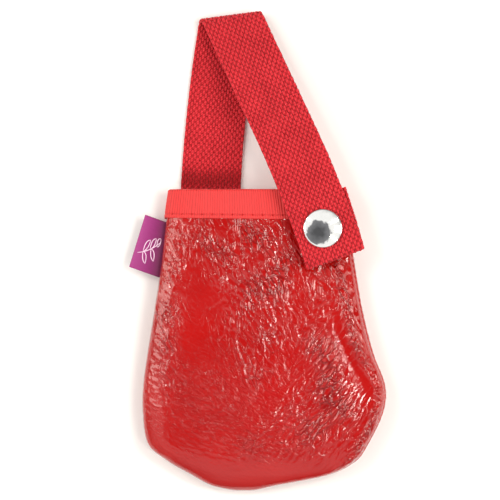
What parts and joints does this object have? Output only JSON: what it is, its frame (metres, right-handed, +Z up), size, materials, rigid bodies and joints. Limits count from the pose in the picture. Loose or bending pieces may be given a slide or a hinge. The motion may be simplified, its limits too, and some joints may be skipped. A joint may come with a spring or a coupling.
{
  "type": "small snap-strap pouch",
  "caption": "Small puffy patent-leather pouch with a ribbon-bound open mouth, a folded webbing strap closed by a press stud, and a side label.",
  "frame": {"origin": "under the middle of the object's box, on the surface that the pouch's back lies on", "axes": "+Z up out of the pouch's front, +Y from the pouch's bottom to the strap's fold, +X to the right as seen from the front"},
  "size_m": [0.11, 0.2054, 0.0236],
  "materials": {
    "patent": "crinkled high-gloss patent",
    "lining": "plain woven, matt",
    "ribbon": "grosgrain with fine cross ribs",
    "thread": "twisted sewing thread",
    "label": "woven satin",
    "webbing": "coarse plain-woven cotton webbing",
    "nickel": "polished",
    "spring": "bright wire"
  },
  "bodies": {
    "pouch": {"front_panel": "patent", "back_panel": "patent", "front_lining": "lining", "back_lining": "lining", "mouth_binding": "ribbon", "binding_stitching": "thread", "strap_anchor": "webbing", "anchor_stitching": "thread", "snap_stud": "nickel", "stud_post": "nickel"},
    "strap_back": {"strap_back_leg": "webbing", "strap_fold": "webbing"},
    "strap_front": {"strap_front_leg": "webbing"},
    "strap_end": {"strap_tip": "webbing", "strap_hem": "webbing", "snap_cap": "nickel", "snap_socket": "nickel", "socket_spring": "spring"},
    "label": {"side_label": "label"}
  },
  "joints": [
    {"name": "strap_root_bend", "type": "hinge", "parent": "pouch", "child": "strap_back", "pos_m": [-0.02008, 0.02842, 0.0022], "axis": [0.989, -0.1481, 0], "range_deg": [0, 60]},
    {"name": "strap_fold_bend", "type": "hinge", "parent": "strap_back", "child": "strap_front", "pos_m": [-0.01012, 0.09803, 0.0085], "axis": [-0.9914, -0.1305, 0], "range_deg": [0, 150]},
    {"name": "strap_peel_bend", "type": "hinge", "parent": "strap_front", "child": "strap_end", "pos_m": [0.0207, 0.02885, 0.0215], "axis": [-0.9147, -0.4041, 0], "range_deg": [0, 75]},
    {"name": "label_flap", "type": "hinge", "parent": "pouch", "child": "label", "pos_m": [-0.04195, 0.00084, 0.0071], "axis": [0.1256, 0.9921, 0], "range_deg": [-10, 75], "stiffness_Nm_per_rad": 0.001}
  ],
  "couplings": [
    {"joint": "strap_root_bend", "follows": "strap_fold_bend", "ratio": 0.4}
  ]
}
